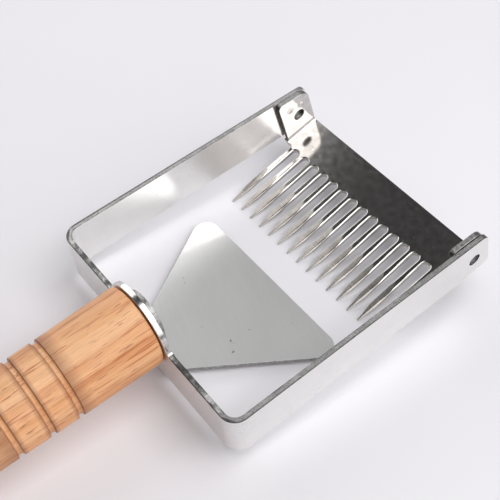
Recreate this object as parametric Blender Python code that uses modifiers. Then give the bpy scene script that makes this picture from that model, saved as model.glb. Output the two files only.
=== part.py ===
"""Uncapping knife for honeycomb: a steel strip frame on a turned wooden handle, with a comb and a guide plate.

The object is modelled in the frame's own square axes, in metres: X runs across, Y runs forward from the
back wall's outer face, and Z runs up from the strip's lower edge. The bench_pose empty then leans it
as it lies on a bench, on the tips of its tines and the swell of its handle, with the origin under its middle.
"""

import math

import bmesh
import bpy
from mathutils import Vector

# Frame: one steel strip bent to a U, with a round tab that rises from the back wall.
SHEET = 0.002
FRAME_WIDTH = 0.100
STRIP_HEIGHT = 0.020
ARM_END_TOP = 0.1142
ARM_END_LOW = 0.1184
ARM_LOWER_RISE = (0.104, 0.002)
FRAME_BEND = 0.006
TAB_RADIUS = 0.016
TAB_CENTRE = 0.0198
TAB_FILLET = 0.003

# Comb: a tilted plate with fifteen ground tines behind it and an ear at each end.
TILT = math.radians(13.3)
COMB_FOLD = (0.1114, -0.00014)
COMB_FRONT = 0.007
TINE_TIP = -0.0425
TINES = 15
TINE_PITCH = 0.00574
TINE_WIDTH = 0.0024
TIP_WIDTH = 0.0007
FIRST_TINE = -0.0431
SLOT_END = -0.0087
TAPER_START = -0.033
GRIND_START = -0.023
TIP_THICKNESS = 0.0007
EAR_INNER = 0.0457
EAR_REAR = -0.0078
EAR_TOP = 0.0202
EAR_BEND = 0.003

# Bores and spot welds through the ears and the arms.
BORE_PLACE = (0.1095, 0.0096)
BORE_RADIUS = 0.0025
WELD_PLACES = {"front": (0.1101, 0.0150), "rear": (0.1048, 0.0146)}
WELD_RADIUS = 0.0015
WELD_INTO_ARM = 0.0009

# Guide plate: a fan of sheet that slopes down and forward, with an upright lug behind it.
GUIDE_SLOPE = 0.122
GUIDE_TOP_AT_WALL = -0.001
GUIDE_FRONT = 0.0564
GUIDE_HALF_REAR = 0.0094
GUIDE_HALF_FRONT = 0.0430
GUIDE_CORNER = 0.0055
GUIDE_BEND = 0.002
LUG_CENTRE = 0.0223
LUG_SHOULDER = 0.0022

# Handle: turned wood on the screw's axis, with three grooves.
AXIS_HEIGHT = 0.0203
HANDLE_RADIUS = 0.0151
HANDLE_TAPER = 0.02
HANDLE_LENGTH = 0.126
HANDLE_EDGE = 0.0014
SWELL_START = 0.070
SWELL_AT = 0.106
SWELL_RADIUS = 0.015
GROOVES = (0.0320, 0.0423, 0.0537)
GROOVE_HALF = 0.0011
GROOVE_DEPTH = 0.0010

# Countersunk wood screw that holds the guide plate's lug, the tab and the handle together.
SCREW_RADIUS = 0.0021
SCREW_ROOT = 0.0016
SCREW_HEAD = 0.0044
SCREW_LENGTH = 0.030
THREAD_PITCH = 0.0018
RECESS_LONG = 0.0024
RECESS_ROOT = 0.00055
RECESS_END = 0.00035
RECESS_DEPTH = 0.0012

GAP = 0.0003
PAST = 0.005
ARC_STEP = math.radians(15)
TURN_STEPS = 36

# Lean and place on the bench.
BENCH_LEAN = math.radians(5.48)
BENCH_SHIFT = (0.0, 0.00461, 0.00508)

PLAN = (0.0, 0.0, 0.0)
SIDE = (math.pi / 2, 0.0, math.pi / 2)
FRONT = (math.pi / 2, 0.0, 0.0)


def clear_scene():
    """Remove every object that the file opened with."""
    for old in list(bpy.data.objects):
        bpy.data.objects.remove(old)


def new_collection(name):
    """Return a new collection linked to the scene."""
    made = bpy.data.collections.new(name)
    bpy.context.scene.collection.children.link(made)
    return made


def new_material(name, colour, roughness, metallic):
    """Return a Principled material with these values."""
    made = bpy.data.materials.new(name)
    made.use_nodes = True
    surface = made.node_tree.nodes["Principled BSDF"]
    surface.inputs["Base Color"].default_value = (*colour, 1.0)
    surface.inputs["Roughness"].default_value = roughness
    surface.inputs["Metallic"].default_value = metallic
    return made


def new_empty(name, collection, parent=None, place=(0.0, 0.0, 0.0), turn=0.0):
    """Return an empty at a place, turned about X."""
    made = bpy.data.objects.new(name, None)
    collection.objects.link(made)
    made.parent = parent
    made.location = place
    made.rotation_euler = (turn, 0.0, 0.0)
    return made


def arc(centre, radius, start, end):
    """Return points along an arc in degrees, with its two ends."""
    steps = max(2, math.ceil(abs(math.radians(end - start)) / ARC_STEP))
    turns = [math.radians(start + (end - start) * i / steps) for i in range(steps + 1)]
    return [(centre[0] + radius * math.cos(a), centre[1] + radius * math.sin(a)) for a in turns]


def rounded(corners):
    """Return the outline of a polygon whose corners are (x, y, radius)."""
    outline = []
    for i, (x, y, radius) in enumerate(corners):
        corner = Vector((x, y))
        if not radius:
            outline.append((x, y))
            continue
        back = (Vector(corners[i - 1][:2]) - corner).normalized()
        onward = (Vector(corners[(i + 1) % len(corners)][:2]) - corner).normalized()
        half = back.angle(onward) / 2
        centre = corner + (back + onward).normalized() * radius / math.sin(half)
        first = corner + back * radius / math.tan(half) - centre
        last = corner + onward * radius / math.tan(half) - centre
        turn = -first.angle_signed(last)
        steps = max(2, math.ceil(abs(turn) / ARC_STEP))
        start = math.atan2(first.y, first.x)
        turns = [start + turn * k / steps for k in range(steps + 1)]
        outline += [(centre.x + radius * math.cos(a), centre.y + radius * math.sin(a)) for a in turns]
    return outline


def add_to(obj, collection, parent):
    """Link an object and parent it."""
    collection.objects.link(obj)
    obj.parent = parent
    return obj


def outline_solid(name, outlines, thickness, facing, place, collection, parent):
    """Return a mesh made from flat outlines, thick on both sides of their plane."""
    flat = bpy.data.curves.new(name + "_outline", "CURVE")
    flat.dimensions = "2D"
    flat.fill_mode = "BOTH"
    flat.extrude = thickness / 2
    for outline in outlines:
        spline = flat.splines.new("POLY")
        spline.points.add(len(outline) - 1)
        for point, (x, y) in zip(spline.points, outline):
            point.co = (x, y, 0.0, 1.0)
        spline.use_cyclic_u = True
    guide = add_to(bpy.data.objects.new(name + "_outline", flat), collection, None)
    graph = bpy.context.evaluated_depsgraph_get()
    mesh = bpy.data.meshes.new_from_object(guide.evaluated_get(graph))
    bpy.data.objects.remove(guide)
    welded = bmesh.new()
    welded.from_mesh(mesh)
    bmesh.ops.remove_doubles(welded, verts=welded.verts, dist=1e-6)
    bmesh.ops.recalc_face_normals(welded, faces=welded.faces)
    welded.to_mesh(mesh)
    welded.free()
    mesh.name = name
    made = add_to(bpy.data.objects.new(name, mesh), collection, parent)
    made.rotation_euler = facing
    made.location = place
    return made


def turned(name, profile, facing, place, collection, parent):
    """Return a solid of revolution about its own Z, from (radius, height) points that run downwards."""
    mesh = bpy.data.meshes.new(name)
    points = [(radius, 0.0, height) for radius, height in profile]
    mesh.from_pydata(points, [(i, i + 1) for i in range(len(points) - 1)], [])
    made = add_to(bpy.data.objects.new(name, mesh), collection, parent)
    made.rotation_euler = facing
    made.location = place
    lathe = made.modifiers.new("lathe", "SCREW")
    lathe.steps = TURN_STEPS
    lathe.render_steps = TURN_STEPS
    lathe.use_merge_vertices = True
    lathe.merge_threshold = 1e-6
    lathe.use_smooth_shade = True
    return made


def finish(obj, material):
    """Give a part its material."""
    obj.data.materials.append(material)
    return obj


def boolean(obj, cutter, operation="DIFFERENCE"):
    """Cut an object with a helper, which stays out of renders."""
    cutter.hide_render = True
    cutter.display_type = "WIRE"
    made = obj.modifiers.new(cutter.name, "BOOLEAN")
    made.operation = operation
    made.object = cutter
    made.solver = "EXACT"


def rod_profile(radius, top, bottom):
    """Return the profile of a plain rod."""
    return [(0.0, top), (radius, top), (radius, bottom), (0.0, bottom)]


def make_frame(parts, cutters, pose, steel):
    """Make the strip frame: a U in plan, trimmed to its strip height, its tab and its arm ends."""
    half = FRAME_WIDTH / 2
    inside = half - SHEET
    bend_inside = FRAME_BEND - SHEET
    far = ARM_END_LOW + PAST
    corners = [
        (-half, far, 0.0),
        (-half, 0.0, FRAME_BEND),
        (half, 0.0, FRAME_BEND),
        (half, far, 0.0),
        (inside, far, 0.0),
        (inside, SHEET, bend_inside),
        (-inside, SHEET, bend_inside),
        (-inside, far, 0.0),
    ]
    top = TAB_CENTRE + TAB_RADIUS + PAST
    frame = outline_solid("frame", [rounded(corners)], top, PLAN, (0, 0, top / 2), parts, pose)
    boolean(frame, tab_keep(cutters, pose), "INTERSECT")
    boolean(frame, arm_keep(cutters, pose), "INTERSECT")
    boolean(frame, cross_bore("frame_bore", FRAME_WIDTH, cutters, pose))
    tab_bore = turned(
        "tab_bore",
        rod_profile(SCREW_RADIUS + GAP, PAST, -PAST),
        FRONT,
        (0, SHEET / 2, AXIS_HEIGHT),
        cutters,
        pose,
    )
    boolean(frame, tab_bore)
    for side in (-1, 1):
        for label, (y, z) in WELD_PLACES.items():
            depth = inside + WELD_INTO_ARM + GAP
            pocket = turned(
                f"arm_pocket_{label}_{side + 1}",
                rod_profile(WELD_RADIUS + GAP, depth, inside - PAST),
                (0, side * math.pi / 2, 0),
                (0, y, z),
                cutters,
                pose,
            )
            boolean(frame, pocket)
    return finish(frame, steel)


def tab_keep(cutters, pose):
    """Return the frame's outline from behind: the strip's height, the tab and its two fillets."""
    wide = FRAME_WIDTH / 2 + PAST
    rise = STRIP_HEIGHT + TAB_FILLET - TAB_CENTRE
    reach = math.sqrt((TAB_RADIUS + TAB_FILLET) ** 2 - rise**2)
    touch = math.degrees(math.atan2(rise, reach))
    fillet = arc((reach, STRIP_HEIGHT + TAB_FILLET), TAB_FILLET, 270, 180 + touch)
    outline = [(wide, -PAST), (wide, STRIP_HEIGHT)]
    outline += fillet
    outline += arc((0.0, TAB_CENTRE), TAB_RADIUS, touch, 180 - touch)[1:-1]
    outline += [(-x, z) for x, z in reversed(fillet)]
    outline += [(-wide, STRIP_HEIGHT), (-wide, -PAST)]
    deep = 2 * (ARM_END_LOW + PAST)
    return outline_solid("tab_keep", [outline], deep, FRONT, (0, 0, 0), cutters, pose)


def arm_keep(cutters, pose):
    """Return the frame's outline from the side, with the arms' rounded front ends."""
    top = TAB_CENTRE + TAB_RADIUS + PAST
    corners = [
        (-PAST, -PAST, 0.0),
        (0.5 * ARM_LOWER_RISE[0], -PAST, 0.0),
        (0.5 * ARM_LOWER_RISE[0] + PAST, 0.0, 0.0),
        (ARM_LOWER_RISE[0], 0.0, 0.02),
        (ARM_END_LOW, ARM_LOWER_RISE[1], 0.003),
        (ARM_END_TOP, STRIP_HEIGHT, 0.003),
        (ARM_LOWER_RISE[0], STRIP_HEIGHT, 0.0),
        (0.5 * ARM_LOWER_RISE[0], STRIP_HEIGHT + PAST, 0.0),
        (0.5 * ARM_LOWER_RISE[0], top, 0.0),
        (-PAST, top, 0.0),
    ]
    wide = FRAME_WIDTH + 2 * PAST
    return outline_solid("arm_keep", [rounded(corners)], wide, SIDE, (0, 0, 0), cutters, pose)


def cross_bore(name, wide, cutters, pose):
    """Return a rod across the whole object, on the bores' axis."""
    half = wide / 2 + PAST
    place = (0, *BORE_PLACE)
    return turned(name, rod_profile(BORE_RADIUS, half, -half), (0, math.pi / 2, 0), place, cutters, pose)


def slot_outlines():
    """Return the gaps between the tines, each with a round end and a flare at the tips."""
    flare = (TINE_WIDTH - TIP_WIDTH) / 2
    half = (TINE_PITCH - TINE_WIDTH) / 2
    beyond = TINE_TIP - PAST
    outlines = []
    for i in range(TINES - 1):
        x = FIRST_TINE + TINE_WIDTH + i * TINE_PITCH + half
        outline = arc((x, SLOT_END - half), half, 0, 180)
        outline += [(x - half, TAPER_START), (x - half - flare, TINE_TIP), (x - half - flare, beyond)]
        outline += [(x + half + flare, beyond), (x + half + flare, TINE_TIP), (x + half, TAPER_START)]
        outlines.append(outline)
    return outlines


def end_outlines():
    """Return the two waste areas outside the first and the last tine."""
    flare = (TINE_WIDTH - TIP_WIDTH) / 2
    beyond = TINE_TIP - PAST
    wide = FRAME_WIDTH / 2
    last = FIRST_TINE + (TINES - 1) * TINE_PITCH + TINE_WIDTH
    outlines = []
    for edge, side in ((FIRST_TINE, -1), (last, 1)):
        corners = [
            (edge, SLOT_END, 0.0012),
            (edge, TAPER_START, 0.0),
            (edge - side * flare, TINE_TIP, 0.0),
            (edge - side * flare, beyond, 0.0),
            (side * wide, beyond, 0.0),
            (side * wide, SLOT_END, 0.0),
        ]
        outlines.append(rounded(corners))
    return outlines


def make_comb(parts, cutters, pose, comb_plane, steel):
    """Make the comb: a U of sheet seen from the front, cut to its tines, its grind and its ears."""
    outer = EAR_INNER + SHEET
    tall = (EAR_TOP - COMB_FOLD[1]) / math.cos(TILT) + PAST
    corners = [
        (-outer, tall, 0.0),
        (-outer, -SHEET, EAR_BEND + SHEET),
        (outer, -SHEET, EAR_BEND + SHEET),
        (outer, tall, 0.0),
        (EAR_INNER, tall, 0.0),
        (EAR_INNER, 0.0, EAR_BEND),
        (-EAR_INNER, 0.0, EAR_BEND),
        (-EAR_INNER, tall, 0.0),
    ]
    deep = COMB_FRONT - TINE_TIP
    middle = (COMB_FRONT + TINE_TIP) / 2
    comb = outline_solid("comb", [rounded(corners)], deep, FRONT, (0, middle, 0), parts, comb_plane)
    thick = 0.08
    waste = slot_outlines() + end_outlines()
    boolean(comb, comb_keep(cutters, comb_plane), "INTERSECT")
    boolean(comb, outline_solid("comb_waste", waste, thick, PLAN, (0, 0, 0), cutters, comb_plane))
    boolean(comb, cross_bore("ear_bore", 2 * outer, cutters, pose))
    for label, (y, z) in WELD_PLACES.items():
        rod = rod_profile(WELD_RADIUS + GAP, outer + PAST, -outer - PAST)
        hole = turned(f"ear_hole_{label}", rod, (0, math.pi / 2, 0), (0, y, z), cutters, pose)
        boolean(comb, hole)
    return finish(comb, steel)


def comb_keep(cutters, comb_plane):
    """Return the comb's outline from the side: the ears, the plate and the ground tips of the tines."""
    def ear_top(along):
        return (EAR_TOP - COMB_FOLD[1] - along * math.sin(TILT)) / math.cos(TILT)

    below = -SHEET - PAST
    corners = [
        (TINE_TIP - PAST, below, 0.0),
        (COMB_FRONT + PAST, below, 0.0),
        (COMB_FRONT + PAST, 0.0, 0.0),
        (COMB_FRONT, 0.001, 0.0),
        (COMB_FRONT, ear_top(COMB_FRONT), 0.0045),
        (EAR_REAR, ear_top(EAR_REAR), 0.002),
        (EAR_REAR, 0.0005, 0.0),
        (GRIND_START - 0.001, 0.0005, 0.0),
        (GRIND_START, 0.0, 0.0),
        (TINE_TIP, -SHEET + TIP_THICKNESS, 0.0),
        (TINE_TIP - PAST, -SHEET + TIP_THICKNESS, 0.0),
    ]
    return outline_solid("comb_keep", [rounded(corners)], 0.12, SIDE, (0, 0, 0), cutters, comb_plane)


def make_guide_plate(parts, cutters, pose, steel):
    """Make the guide plate: an L of sheet seen from the side, cut to its fan and its lug."""
    rear = SHEET + GAP
    ahead = GUIDE_FRONT + PAST

    def upper(y):
        return GUIDE_TOP_AT_WALL - GUIDE_SLOPE * (y - SHEET)

    drop = SHEET * math.hypot(1.0, GUIDE_SLOPE)
    high = LUG_CENTRE + GUIDE_HALF_REAR + PAST
    corners = [
        (rear, high, 0.0),
        (rear, upper(rear) - drop, GUIDE_BEND + SHEET),
        (ahead, upper(ahead) - drop, 0.0),
        (ahead, upper(ahead), 0.0),
        (rear + SHEET, upper(rear + SHEET), GUIDE_BEND),
        (rear + SHEET, high, 0.0),
    ]
    wide = 2 * (GUIDE_HALF_FRONT + PAST)
    guide = outline_solid("guide_plate", [rounded(corners)], wide, SIDE, (0, 0, 0), parts, pose)
    boolean(guide, fan_keep(cutters, pose), "INTERSECT")
    boolean(guide, lug_keep(cutters, pose), "INTERSECT")
    head_top = SHEET + rear
    countersink = [(0.0, head_top + GAP), (SCREW_HEAD + 2 * GAP, head_top + GAP)]
    countersink += [(SCREW_RADIUS + GAP, rear - GAP), (SCREW_RADIUS + GAP, 0.0), (0.0, 0.0)]
    cut = turned("lug_bore", countersink, (-math.pi / 2, 0, 0), (0, 0, AXIS_HEIGHT), cutters, pose)
    boolean(guide, cut)
    return finish(guide, steel)


def fan_keep(cutters, pose):
    """Return the guide plate's outline from above: straight slanted sides and round front corners."""
    spread = (GUIDE_HALF_FRONT - GUIDE_HALF_REAR) / (GUIDE_FRONT - SHEET)
    start = 0.0055
    half = GUIDE_HALF_REAR + spread * (start - SHEET)
    right = [
        (half, -PAST, 0.0),
        (half, start, 0.0),
        (GUIDE_HALF_FRONT, GUIDE_FRONT, GUIDE_CORNER),
    ]
    left = [(-x, y, radius) for x, y, radius in reversed(right)]
    return outline_solid("fan_keep", [rounded(right + left)], 0.1, PLAN, (0, 0, 0), cutters, pose)


def lug_keep(cutters, pose):
    """Return the guide plate's outline from the front: the fan below and the round-topped lug above."""
    wide = GUIDE_HALF_FRONT + 2 * PAST
    low = -0.03
    corners = [(-wide, low), (wide, low), (wide, LUG_SHOULDER), (GUIDE_HALF_REAR, LUG_SHOULDER)]
    corners += arc((0.0, LUG_CENTRE), GUIDE_HALF_REAR, 0, 180)
    corners += [(-GUIDE_HALF_REAR, LUG_SHOULDER), (-wide, LUG_SHOULDER)]
    return outline_solid("lug_keep", [corners], 0.16, FRONT, (0, 0, 0), cutters, pose)


def handle_radius(back):
    """Return the wood's radius at a distance behind the tab."""
    plain = HANDLE_RADIUS - HANDLE_TAPER * back
    if back <= SWELL_START:
        return plain
    if back > SWELL_AT:
        share = (back - SWELL_AT) / (HANDLE_LENGTH - SWELL_AT)
        return SWELL_RADIUS * math.sqrt(max(0.0, 1.0 - share**2.4))
    waist = HANDLE_RADIUS - HANDLE_TAPER * SWELL_START
    rise = 0.5 - 0.5 * math.cos(math.pi * (back - SWELL_START) / (SWELL_AT - SWELL_START))
    return waist + (SWELL_RADIUS - waist) * rise


def handle_profile():
    """Return the handle's profile from its pilot hole, round its front edge and along to its butt."""
    bore = SCREW_RADIUS + GAP
    deep = SCREW_LENGTH + 2 * GAP
    front = GAP
    edge = handle_radius(front) - HANDLE_EDGE
    profile = [(0.0, -deep - bore), (bore, -deep), (bore, -front)]
    profile += [(r, -front + z) for r, z in arc((edge, -HANDLE_EDGE), HANDLE_EDGE, 90, 0)]
    for at in GROOVES:
        rim = handle_radius(at)
        for turn in range(0, 181, 45):
            share = math.radians(turn)
            radius = rim - GROOVE_DEPTH * math.sin(share)
            profile.append((radius, -at + GROOVE_HALF * math.cos(share)))
    steps = 20
    for i in range(steps):
        back = SWELL_START + (HANDLE_LENGTH - SWELL_START) * math.sin(0.5 * math.pi * i / steps)
        profile.append((handle_radius(back), -back))
    profile.append((0.0, -HANDLE_LENGTH))
    return profile


def make_handle(parts, pose, wood):
    """Make the turned wooden handle."""
    place = (0, 0, AXIS_HEIGHT)
    handle = turned("handle", handle_profile(), (-math.pi / 2, 0, 0), place, parts, pose)
    return finish(handle, wood)


def make_screw(parts, cutters, pose, steel):
    """Make the countersunk wood screw, with rings for its thread and a cross recess."""
    face = 2 * SHEET + GAP
    profile = [(0.0, face), (SCREW_HEAD, face), (SCREW_RADIUS, SHEET), (SCREW_RADIUS, -THREAD_PITCH)]
    tip = 0.004
    threads = int((SCREW_LENGTH - tip) / THREAD_PITCH) - 1
    for i in range(threads):
        crest = -(i + 1.5) * THREAD_PITCH
        profile += [(SCREW_ROOT, crest + THREAD_PITCH / 3), (SCREW_RADIUS, crest)]
        profile += [(SCREW_ROOT, crest - THREAD_PITCH / 3)]
    profile.append((0.0, -SCREW_LENGTH))
    place = (0, 0, AXIS_HEIGHT)
    screw = turned("handle_screw", profile, (-math.pi / 2, 0, 0), place, parts, pose)
    cross = []
    arm = ((RECESS_LONG, -RECESS_END), (RECESS_LONG, RECESS_END), (RECESS_ROOT, RECESS_ROOT))
    for cos, sin in ((1, 0), (0, 1), (-1, 0), (0, -1)):
        cross += [(x * cos - y * sin, x * sin + y * cos) for x, y in arm]
    recess = outline_solid(
        "screw_recess", [cross], 2 * RECESS_DEPTH, FRONT, (0, face, AXIS_HEIGHT), cutters, pose
    )
    boolean(screw, recess)
    return finish(screw, steel)


def make_spot_welds(parts, pose, steel):
    """Make the four weld nuggets that join the comb's ears to the arms."""
    inner = EAR_INNER + GAP / 2
    outer = FRAME_WIDTH / 2 - SHEET + WELD_INTO_ARM
    for name, side in (("left", -1), ("right", 1)):
        for label, (y, z) in WELD_PLACES.items():
            rod = rod_profile(WELD_RADIUS, outer, inner)
            facing = (0, side * math.pi / 2, 0)
            weld = turned(f"spot_weld_{name}_{label}", rod, facing, (0, y, z), parts, pose)
            finish(weld, steel)


def main():
    """Build the knife."""
    clear_scene()
    parts = new_collection("uncapping_knife")
    cutters = new_collection("cutters")
    pose = new_empty("bench_pose", parts, place=BENCH_SHIFT, turn=BENCH_LEAN)
    comb_plane = new_empty("comb_plane", parts, pose, (0.0, *COMB_FOLD), TILT)
    satin = new_material("satin_steel", (0.62, 0.62, 0.64), 0.35, 1.0)
    polished = new_material("polished_steel", (0.55, 0.55, 0.57), 0.18, 1.0)
    brushed = new_material("brushed_steel", (0.58, 0.59, 0.60), 0.30, 1.0)
    zinc = new_material("zinc_steel", (0.66, 0.64, 0.58), 0.35, 1.0)
    weld = new_material("weld_steel", (0.45, 0.45, 0.46), 0.45, 1.0)
    wood = new_material("oiled_wood", (0.62, 0.30, 0.12), 0.50, 0.0)
    make_frame(parts, cutters, pose, satin)
    make_comb(parts, cutters, pose, comb_plane, polished)
    make_guide_plate(parts, cutters, pose, brushed)
    make_handle(parts, pose, wood)
    make_screw(parts, cutters, pose, zinc)
    make_spot_welds(parts, pose, weld)


main()
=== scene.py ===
"""Uncapping knife for honeycomb: the looks of its strip frame, comb, guide plate, handle and fastenings.

Every piece is shaped in the frame's own square axes: X across, Y forward from the back wall's outer face
and Z up from the strip's lower edge. Each is then laid on the bench as the tool rests there.
"""

import logging
import math
from collections.abc import Callable, Sequence
from dataclasses import dataclass
from enum import Enum

import bmesh
import bpy
from bpy.types import Material, MeshPolygon, Node, NodeSocket, Object
from mathutils import Matrix, Quaternion, Vector


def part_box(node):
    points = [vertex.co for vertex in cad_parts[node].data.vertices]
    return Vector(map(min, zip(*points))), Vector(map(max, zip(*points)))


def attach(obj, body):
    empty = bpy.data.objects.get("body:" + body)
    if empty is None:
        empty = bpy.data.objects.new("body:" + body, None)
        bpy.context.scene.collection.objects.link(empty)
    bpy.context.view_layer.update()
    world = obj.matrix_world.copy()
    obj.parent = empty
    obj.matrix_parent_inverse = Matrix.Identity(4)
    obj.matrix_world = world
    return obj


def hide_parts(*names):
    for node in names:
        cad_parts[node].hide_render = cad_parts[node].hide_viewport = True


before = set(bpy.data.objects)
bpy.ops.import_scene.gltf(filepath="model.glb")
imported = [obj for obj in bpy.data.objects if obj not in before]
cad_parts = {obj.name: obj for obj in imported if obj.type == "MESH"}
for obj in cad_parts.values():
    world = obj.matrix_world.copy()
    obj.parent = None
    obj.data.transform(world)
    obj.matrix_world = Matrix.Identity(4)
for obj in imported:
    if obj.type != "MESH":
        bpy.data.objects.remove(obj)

log = logging.getLogger("uncapping_knife")

# The tool rests on its comb and its handle, leaning a little.
BENCH_LEAN = math.radians(5.48)
BENCH_SHIFT = Vector((0.0, 0.00461, 0.00508))
ON_BENCH = Matrix.Translation(BENCH_SHIFT) @ Matrix.Rotation(BENCH_LEAN, 4, "X")

# The thickness of every sheet, and the gap left between pieces that touch.
SHEET = 0.002
GAP = 0.0003
# How far a cutter reaches past what it cuts, and the distance below which points are one.
PAST = 0.005
TINY = 1e-6
# The spin operator turns the other way from the angles used here.
SPIN_SIGN = -1.0

# Places that more than one piece shares, in the square axes.
SCREW_HEIGHT = 0.0203
BORE_PLACE = (0.1095, 0.0096)
BORE_RADIUS = 0.0025
WELD_PLACES = (("front", 0.1101, 0.0150), ("rear", 0.1048, 0.0146))
EAR_INNER = 0.0457

Colour = tuple[float, float, float]
Facet = tuple[Vector, Vector, Vector]
PLAIN = (1.0, 1.0, 1.0)


class Face(Enum):
    """The flat that an outline is scribed on, with its normal to the reader's side."""

    PLAN = ((1, 0, 0), (0, 1, 0), (0, 0, 1))
    SIDE = ((0, 1, 0), (0, 0, 1), (1, 0, 0))
    FRONT = ((1, 0, 0), (0, 0, 1), (0, -1, 0))

    def point(self, across: float, up: float, out: float) -> Vector:
        """Return the place of a point on, or off, the flat."""
        first, second, third = (Vector(axis) for axis in self.value)
        return first * across + second * up + third * out

    @property
    def normal(self) -> Vector:
        """Return the flat's normal."""
        return Vector(self.value[2])


class Surface(Enum):
    """The material slots of a sheet-metal piece, in order."""

    SHEET = 0
    CUT_EDGE = 1
    DRESSED = 2
    # Painted shade: the ears' rear edges get a near-black finish that stands in for the shadow in the gap
    # beside the arms.
    SCORCHED = 3


def put_down() -> None:
    """Leave edit mode and deselect everything."""
    if bpy.context.object and bpy.context.object.mode != "OBJECT":
        bpy.ops.object.mode_set(mode="OBJECT")
    bpy.ops.object.select_all(action="DESELECT")


def pick_up(piece: Object) -> None:
    """Make one object the only selected and the active one.

    Args:
        piece: The object to work on.
    """
    put_down()
    piece.select_set(True)
    bpy.context.view_layer.objects.active = piece


class Scriber:
    """Scribes an outline from a single vertex with edit-mode operators, then fills and raises it."""

    def __init__(self, name: str, face: Face, start: tuple[float, float], out: float = 0.0) -> None:
        """Start an outline.

        Args:
            name: The piece's name.
            face: The flat that the outline lies on.
            start: The first point on the flat.
            out: The flat's distance along its normal.
        """
        put_down()
        self.face = face
        self.out = out
        self.at = Vector(start)
        bpy.ops.mesh.primitive_plane_add(size=PAST, location=face.point(*start, out))
        self.piece = bpy.context.object
        self.piece.name = name
        bpy.ops.object.transform_apply(location=True, rotation=True, scale=True)
        bpy.ops.object.mode_set(mode="EDIT")
        bpy.ops.mesh.select_mode(type="VERT")
        bpy.ops.mesh.select_all(action="SELECT")
        bpy.ops.mesh.merge(type="CENTER")

    def line(self, *points: tuple[float, float]) -> None:
        """Draw straight lines on to each point.

        Args:
            points: Places on the flat.
        """
        for point in points:
            step = Vector(point) - self.at
            if step.length < TINY:
                continue
            move = self.face.point(step.x, step.y, 0.0)
            bpy.ops.mesh.extrude_region_move(TRANSFORM_OT_translate={"value": move})
            self.at = Vector(point)

    def arc(self, centre: Vector, turn: float, step: float = 7.5) -> None:
        """Draw an arc about a centre.

        Args:
            centre: The arc's centre on the flat.
            turn: The turn in radians, positive anticlockwise as the flat's normal sees it.
            step: The largest angle of one segment, in degrees.
        """
        steps = max(2, math.ceil(abs(math.degrees(turn)) / step))
        pivot = self.face.point(centre.x, centre.y, self.out)
        bpy.ops.mesh.spin(steps=steps, angle=SPIN_SIGN * turn, center=pivot, axis=self.face.normal)
        spoke = self.at - centre
        self.at = centre + Vector(
            (
                spoke.x * math.cos(turn) - spoke.y * math.sin(turn),
                spoke.x * math.sin(turn) + spoke.y * math.cos(turn),
            )
        )

    def corner(self, corner: tuple[float, float], onward: tuple[float, float], radius: float) -> None:
        """Draw up to a corner and round it.

        Args:
            corner: The corner's point.
            onward: The point that the outline heads for after the corner.
            radius: The corner's radius, or 0 for a sharp one.
        """
        if not radius:
            self.line(corner)
            return
        tip = Vector(corner)
        back = (self.at - tip).normalized()
        ahead = (Vector(onward) - tip).normalized()
        half = back.angle(ahead) / 2
        centre = tip + (back + ahead).normalized() * radius / math.sin(half)
        self.line(tuple(tip + back * radius / math.tan(half)))
        leftward = back.y * ahead.x - back.x * ahead.y
        self.arc(centre, math.copysign(math.pi - 2 * half, leftward))

    def polygon(self, corners: list[tuple[float, float, float]]) -> None:
        """Draw through corners, and end at the last one.

        Args:
            corners: Each corner's place across and up, and its radius.
        """
        for i, (across, up, radius) in enumerate(corners):
            onward = corners[(i + 1) % len(corners)][:2]
            self.corner((across, up), onward, radius)

    def raise_by(self, height: float) -> Object:
        """Fill the outline and raise it along the flat's normal.

        Args:
            height: How far it is raised.

        Returns:
            The closed piece.
        """
        bpy.ops.mesh.select_all(action="SELECT")
        bpy.ops.mesh.remove_doubles(threshold=TINY)
        bpy.ops.mesh.edge_face_add()
        move = self.face.normal * height
        bpy.ops.mesh.select_all(action="SELECT")
        bpy.ops.mesh.extrude_region_move(TRANSFORM_OT_translate={"value": move})
        return self.close()

    def turn_round(self, pivot: Vector, axis: Vector, steps: int) -> Object:
        """Spin the open outline a full turn.

        Args:
            pivot: A point on the axis.
            axis: The axis.
            steps: How many steps make the turn.

        Returns:
            The closed piece.
        """
        bpy.ops.mesh.select_all(action="SELECT")
        bpy.ops.mesh.spin(steps=steps, angle=math.tau, center=pivot, axis=axis)
        return self.close()

    def close(self) -> Object:
        """Merge doubles, face the normals outwards and leave edit mode.

        Returns:
            The closed piece.
        """
        bpy.ops.mesh.select_all(action="SELECT")
        bpy.ops.mesh.remove_doubles(threshold=TINY)
        bpy.ops.mesh.normals_make_consistent(inside=False)
        bpy.ops.object.mode_set(mode="OBJECT")
        return self.piece


def rod(name: str, start: Vector, end: Vector, radius: float) -> Object:
    """Return a plain rod to cut with.

    Args:
        name: The rod's name.
        start: The centre of one end.
        end: The centre of the other end.
        radius: The rod's radius.

    Returns:
        The rod.
    """
    put_down()
    along = end - start
    facing = along.to_track_quat("Z", "Y").to_euler()
    middle = (start + end) / 2
    bpy.ops.mesh.primitive_cylinder_add(
        vertices=64, radius=radius, depth=along.length, location=middle, rotation=facing
    )
    made = bpy.context.object
    made.name = name
    bpy.ops.object.transform_apply(location=True, rotation=True, scale=True)
    return made


def cut(piece: Object, cutter: Object, operation: str = "DIFFERENCE") -> None:
    """Cut a piece with another object, which is used up.

    Args:
        piece: The piece to cut.
        cutter: The cutting object.
        operation: The Boolean operation.
    """
    pick_up(piece)
    modifier = piece.modifiers.new("cut", "BOOLEAN")
    modifier.operation = operation
    modifier.object = cutter
    modifier.solver = "EXACT"
    bpy.ops.object.modifier_apply(modifier=modifier.name)
    bpy.data.objects.remove(cutter)


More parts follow.
